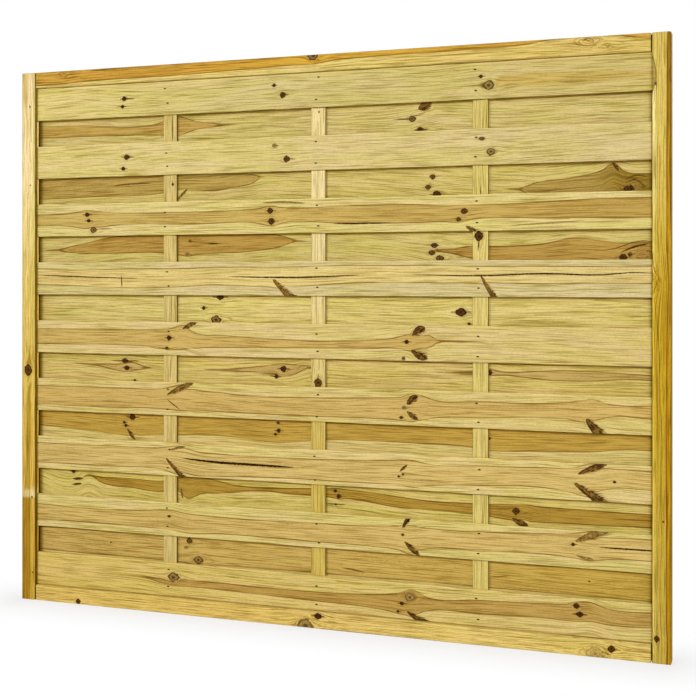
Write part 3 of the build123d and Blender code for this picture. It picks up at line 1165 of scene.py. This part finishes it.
make_front_slat(8, {
    "heart": [(34, -5, 23), (260, -5.5, 20.5), (392, -3.5, 23.5), (470, -2, 27), (510, -7, 27),
              (618, -7, 23), (893, -6.5, 25), (1051, -5, 26.7), (1123, -4.7, 31), (1150, -6, 36),
              (1197, -1, 27), (1336, 2, 24.5), (1494, 7.5, 25.5), (1573, 8, 30), (1613, 8, 33),
              (1653, 10, 28), (1766, 10.5, 25.5)],
    "knots": [(466, 8, 3.5, 0.85), (1134, 4, 3.5, 0.7), (1567, 11, 4, 0.9)],
    "spikes": [(1134, 22, 1150, 47, 6, 0.95), (1138, -12, 1179, -45, 8.5, 0.75),
               (1574, 18, 1640, 47, 10, 0.36), (1573, -14, 1618, -24, 5, 0.2)],
    "streaks": [(end_split, 1.7, 0.95), ([(300, -18), (440, -17)], 1.3, 0.35)],
    "splits": [(end_split, 1.6, 1.6)],
    "sapwood": (0.785, 0.625, 0.225),
    "heartwood": [(34, (0.67, 0.473, 0.135)), (900, (0.713, 0.506, 0.156)),
                  (1766, (0.73, 0.525, 0.166))],
})
make_front_slat(9, {
    "heart": [(34, 1, -3), (300, 1, -2), (368, 1, 0.5), (464, -3.5, 7), (505, -4, 8), (618, -6, 9.5),
              (893, -9, 12), (1012, -7.5, 15), (1091, -6.5, 19.5), (1130, -6.5, 23.7), (1158, -4, 29),
              (1197, -3.5, 16.8), (1336, 2, 17), (1494, 7.8, 17.3), (1565, 10, 19), (1609, 15, 21),
              (1645, 8, 19), (1766, 8, 18)],
    "knots": [(479, 7, 12, 0.4), (1132, -7, 4.5, 1.0), (1122, -28, 3.5, 1.0), (1153, 11, 11, 0.3),
              (1575, 27, 6.5, 0.8), (1584, 7, 7, 1.0)],
    "spikes": [(1146, -26, 1190, -49, 8, 0.9)],
    "sapwood": [(34, (0.775, 0.557, 0.15)), (900, (0.79, 0.6, 0.2)), (1766, (0.79, 0.615, 0.215))],
    "heartwood": [(34, (0.595, 0.38, 0.095)), (900, (0.545, 0.342, 0.078)),
                  (1766, (0.595, 0.39, 0.102))],
})


# The back slats. Eight more of the same boards close the gaps from behind, in the stiles' back
# grooves, nailed to the battens from the back. They hold more of the brown heartwood.
back_spacing = 3.0
back_heart = (0.52, 0.335, 0.09)
back_sap = (0.72, 0.57, 0.18)
back_finish = pine(
    "pale_green_pine_back_slats",
    green=0.75, ring_width=6.5, rings=0.32, contrast=1.35, roughness=0.66,
)


def make_back_slat(number, board):
    """A back slat, with the colours that the back slats share unless its own are given."""
    board = {"seed": 20.0 + number, "pith": 5.0, "sapwood": back_sap, "heartwood": back_heart, **board}
    make_slat(f"back_slat_{number}", board, back_spacing, back_finish)


make_back_slat(1, {
    "heart": [(34, 7, 18), (182, 4.5, 16), (426, 0, 17), (485, 6, 27), (535, 6, 13), (608, 4, 4),
              (645, 4, -1), (760, 3, -4), (1100, 2, -3), (1200, 6, -5), (1400, -4, -3), (1640, 0, -5),
              (1766, 0, -3)],
    "knots": [(1154, -3, 8, 0.55), (1177, -32, 7, 1.0)],
    "spikes": [(1170, 20, 1206, 35, 14, 0.75)],
    "streaks": [([(1106, -2), (1152, -3)], 1.4, 0.7), ([(1156, 2), (1190, 12)], 2.2, 0.4)],
    "sapwood": (0.67, 0.528, 0.184),
    "heartwood": (0.535, 0.35, 0.079),
})
make_back_slat(2, {
    "heart": [(34, 5, 26), (222, 10, 28), (437, 13, 25), (490, 14, 18), (608, 12, 21), (648, 16, 18),
              (708, 20, 12), (735, 24, 1), (780, 22, -4), (1100, 0, -4), (1400, -24, -2), (1431, -25, 2),
              (1470, -30, 19), (1570, -26, 27), (1638, -20, 36), (1662, -12, 42), (1686, -22, 33),
              (1766, -27, 28)],
    "knots": [(1208, 12.5, 6.5, 0.65), (1197, -14, 6.5, 0.65), (1220, -33, 8, 0.85),
              (1716, -24, 10, 0.12), (1696, -31, 8, 0.8)],
    "spikes": [(1660, 36, 1676, 14, 5, 0.9), (480, -36, 514, -2, 4.5, 0.5)],
    "streaks": [([(286, 13), (340, 16), (405, 17)], 2.0, 0.6),
                ([(1688, -9), (1712, 1), (1746, -3)], 1.4, 0.55),
                ([(1690, -16), (1714, -9), (1738, -26)], 1.3, 0.6)],
    "sapwood": (0.67, 0.522, 0.163),
    "heartwood": [(34, (0.505, 0.347, 0.084)), (1600, (0.48, 0.327, 0.076)), (1680, (0.33, 0.21, 0.025)),
                  (1766, (0.3, 0.19, 0.02))],
})
make_back_slat(3, {
    "heart": [(34, -3, -4), (95, -2, 0.5), (162, 0, 12), (222, 5, 18.5), (262, 9, 22), (437, 13, 25.5),
              (485, 10, 28), (608, 12, 26), (707, 14, 24), (790, 17, 15), (838, 17, 1), (900, 14, -4),
              (1100, 0, -4), (1235, -14, -1), (1307, -16, 14), (1352, -21, 19), (1491, -18, 21),
              (1575, -12, 28), (1630, -16, 24), (1690, -22, 20), (1766, -18, 22)],
    "knots": [(1215, 2, 7, 0.7), (1208, -16, 7, 0.65), (1228, -31, 8, 0.6), (522, 20, 3.5, 0.5),
              (513, -16, 5, 0.4), (1685, -31, 8, 0.8), (1702, -24, 5, 0.6), (1731, -24, 11, 0.1)],
    "streaks": [([(572, 12), (610, 12)], 1.8, 0.8),
                ([(1636, -14), (1668, -9), (1706, 4), (1752, 11)], 1.1, 0.6),
                ([(1680, -19), (1706, -8), (1744, 1)], 2.0, 0.75), ([(1184, 3), (1213, 2)], 1.2, 0.5)],
    "sapwood": (0.66, 0.525, 0.16),
    "heartwood": (0.494, 0.305, 0.063),
})
make_back_slat(4, {
    "pith": 40.0,
    "heart": [(34, 0, -16), (90, 0, -22), (200, 2, -28), (450, 0, -24), (600, 0, -30), (800, 5, -22),
              (1100, 0, -27), (1290, 0, -30), (1500, 4, -22), (1766, 0, -27)],
    "knots": [(563, 2, 5, 0.9), (612, 32, 9, 0.95), (600, -30, 12, 0.5), (1282, -3, 11, 0.85),
              (1304, -32, 3, 0.8)],
    "streaks": [([(1405, -33), (1470, -31), (1535, -36)], 5.0, 0.2)],
    "sapwood": [(34, (0.66, 0.47, 0.15)), (110, (0.7, 0.55, 0.18)), (600, (0.76, 0.61, 0.2)),
                (1766, (0.74, 0.58, 0.19))],
})
make_back_slat(5, {
    "pith": 4.0,
    "heart": [(34, 6, -3), (180, 7, -1), (240, 4, 4), (303, 0, 9), (330, 2, 12), (366, 1, 6),
              (395, 0, -1), (560, -1, -3), (610, -1, 1), (751, 3, 10), (800, 2, 14), (823, 4, 12),
              (870, 13, 3), (905, 10, -2), (1200, 9, -3), (1255, 9, 2), (1305, 9, 4), (1365, 12, 3),
              (1390, 10, 3), (1466, 8, 9), (1531, 8, 13), (1611, 9, 12), (1690, 10, 8), (1766, 8, 6)],
    "knots": [(321, 17, 6.5, 0.75), (326, -2, 6.5, 1.0), (351, -36, 3.5, 0.9), (798, 7, 7.5, 0.95),
              (777, -14, 5.5, 0.85), (1356, 11, 7, 0.8)],
    "streaks": [([(277, 17), (321, 17), (363, 18)], 1.6, 0.65), ([(756, -13), (778, -14)], 1.2, 0.7)],
    "sapwood": (0.705, 0.53, 0.165),
    "heartwood": (0.56, 0.38, 0.11),
})
make_back_slat(6, {
    "pith": 6.0,
    "heart": [(34, 18, 25), (181, 14, 29), (341, 10, 33), (437, 12, 31), (608, 14, 29), (790, 10, 33),
              (876, 13, 30), (922, 15, 28), (1066, 17, 27), (1193, 17, 27), (1307, 15, 28),
              (1352, 12, 31), (1491, 14, 29), (1611, 16, 27), (1690, 20, 23), (1766, 21, 22.5)],
    "knots": [(345, 26, 9, 0.9), (318, 10.5, 4, 1.0), (322, 2, 4, 1.0), (784, 6.5, 6, 0.95),
              (775, -3.5, 3.5, 0.9), (783, 27, 4, 0.8), (1355, 10.5, 3.5, 0.8)],
    "spikes": [(326, -6, 353, -37, 6, 0.8)],
    "sapwood": (0.74, 0.57, 0.21),
    "heartwood": (0.546, 0.349, 0.06),
})
make_back_slat(7, {
    "pith": 4.0,
    "heart": [(34, 20, -3), (150, 0, -4), (205, 22, -1), (245, 11, 8), (285, 8, 12), (341, 7, 13),
              (437, 3.5, 15.5), (481, 12, 16), (515, 5, 32), (552, 12, 24), (608, 11, 17), (648, 9, 11),
              (695, 10.5, 6.5), (748, 12.5, 5.5), (824, 12, 8), (876, 13.7, 9.8), (923, 14, 10),
              (990, 13, 11), (1046, 9, 13), (1100, 3, 14), (1193, -2, 12), (1307, -3, 13),
              (1420, -6, 17.5), (1766, -6, 16)],
    "knots": [(155, 31, 7, 0.8), (945, 20, 4.5, 0.9), (954, 6.5, 5.5, 0.8), (946, -15, 2.5, 0.9),
              (1423, -2, 8, 0.7)],
    "spikes": [(150, 8, 186, 11, 4.5, 0.8), (148, -8, 182, -4, 4, 0.8), (494, 4, 500, -27, 4, 0.5),
               (1413, -20, 1454, -37, 10, 0.8)],
    "streaks": [([(917, -15), (974, -14)], 1.3, 0.7)],
    "sapwood": (0.715, 0.56, 0.16),
    "heartwood": (0.46, 0.282, 0.04),
})
make_back_slat(8, {
    "pith": 10.0,
    "heart": [(34, 10, 44), (600, 8, 42), (1200, 10, 44), (1766, 7, 41)],
    "knots": [(520, 23, 8, 0.6), (510, 5, 4, 0.35), (546, -27, 12, 0.4), (275, 2, 2, 0.9),
              (1604, 2.5, 2, 0.7)],
    "streaks": [([(966, -15), (990, -17), (1026, -22)], 2.0, 0.6), ([(1362, -6), (1408, 0)], 1.4, 0.5)],
    "heartwood": [(34, (0.625, 0.43, 0.117)), (900, (0.645, 0.45, 0.115)), (1766, (0.6, 0.4, 0.067))],
})


# The nails. Dull steel heads, two where each slat crosses a batten, driven flush from the front into
# the battens and from the back through the back slats.
head_radius = 4.0
head_bevel = 0.6
head_flat = 0.5
head_depth = 0.8
proud = 0.12
rim_below = 0.05
nail_turns = 12


def nail_heads(name, places, outward):
    """Many nail heads as one mesh. Each is a profile of radius and height, turned round its middle
    and then squeezed upright: a flat top, a bevel and a short side, closed below in the wood. outward
    is -1 for the front."""
    radius = np.array([0.0, head_radius - head_bevel, head_radius, head_radius, 0.0])
    height = np.array([proud, proud, -rim_below, -head_depth, -head_depth])
    turn = np.linspace(0, 2 * np.pi, nail_turns, endpoint=False)
    x = np.outer(radius[1:-1], np.cos(turn)).ravel()
    z = head_flat * np.outer(radius[1:-1], np.sin(turn)).ravel()
    y = np.repeat(height[1:-1], nail_turns)
    middles = np.array([[0, outward * height[0], 0], [0, outward * height[-1], 0]])
    one = np.concatenate([np.stack([x, outward * y, z], 1), middles])
    points = (np.array(places, float)[:, None, :] + one[None]).reshape(-1, 3) * MM
    ring = np.arange(3 * nail_turns).reshape(3, nail_turns)
    beside = np.roll(ring, -1, axis=1)
    faces = np.stack([ring[:-1], ring[1:], beside[1:], beside[:-1]], 2).reshape(-1, 4).tolist()
    top, bottom = 3 * nail_turns, 3 * nail_turns + 1
    faces += np.stack([np.full(nail_turns, top), ring[0], beside[0]], 1).tolist()
    faces += np.stack([np.full(nail_turns, bottom), beside[2], ring[2]], 1).tolist()
    if outward > 0:
        faces = [face[::-1] for face in faces]
    every = [[i + start for i in face] for start in range(0, len(points), len(one)) for face in faces]
    mesh = bpy.data.meshes.new(name)
    mesh.from_pydata(points.tolist(), [], every)
    mesh.shade_smooth()
    mesh.set_sharp_from_angle(angle=math.radians(50))
    return put_in_scene(name, mesh)


nail_finish, start = new_material("dull_steel_nails")
mottle = start.node("TexCoord", None, None, 3).noise((0.0012, 0.0012, 0.0012), 2.0)
steel = mottle.between((0.02, 0.01, 0.002, 1), (0.07, 0.042, 0.012, 1))
look = {"Base Color": steel, "Metallic": 0.3, "Roughness": 0.6 + mottle * 0.3, "Specular IOR Level": 0.1}
show(start, start.node("BsdfPrincipled", None, look))

# Each row gives, for the three battens, the X of the upper nail and its height over the slat's middle,
# and then the same for the lower nail.
front_nails = [
    ((453, 26, 461, -14), (904, 33, 897, -25), (1323, 29, 1325, -24)),
    ((457, 14, 460, -22), (896, 29, 896, -27), (1326, 24, 1324, -25)),
    ((453, 16, 453, -23), (899, 27, 903, -27), (1327, 29, 1328, -25)),
    ((459, 18, 464, -21), (898, 27, 900, -23), (1330, 24, 1332, -24)),
    ((464, 20, 459, -25), (898, 19, 901, -26), (1331, 20, 1330, -31)),
    ((462, 26, 461, -29), (902, 25, 899, -33), (1327, 17, 1332, -30)),
    ((467, 26, 462, -24), (892, 28, 894, -34), (1334, 16, 1331, -34)),
    ((459, 30, 461, -20), (898, 16, 905, -33), (1333, 21, 1331, -29)),
    ((464, 27, 463, -20), (898, 18, 898, -30), (1326, 23, 1331, -29)),
]
places = []
for row, pairs in enumerate(front_nails, 1):
    middle, half = size_of(f"front_slat_{row}")
    for x_up, up, x_low, low in pairs:
        places.append((x_up, middle[1] - half[1], middle[2] + up))
        places.append((x_low, middle[1] - half[1], middle[2] + low))
front_heads = nail_heads("front_nail_heads", places, -1)

nail_height = 23
nail_stray = 4
random = np.random.default_rng(4)
places = []
for row in range(1, 9):
    middle, half = size_of(f"back_slat_{row}")
    for number in (1, 2, 3):
        x = size_of(f"batten_{number}")[0][0]
        for height in (nail_height, -nail_height):
            dx, dz = random.uniform(-nail_stray, nail_stray, 2)
            places.append((x + dx, middle[1] + half[1], middle[2] + height + dz))
back_heads = nail_heads("back_nail_heads", places, 1)
for heads in (front_heads, back_heads):
    heads.data.materials.append(nail_finish)
    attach(heads, "root")
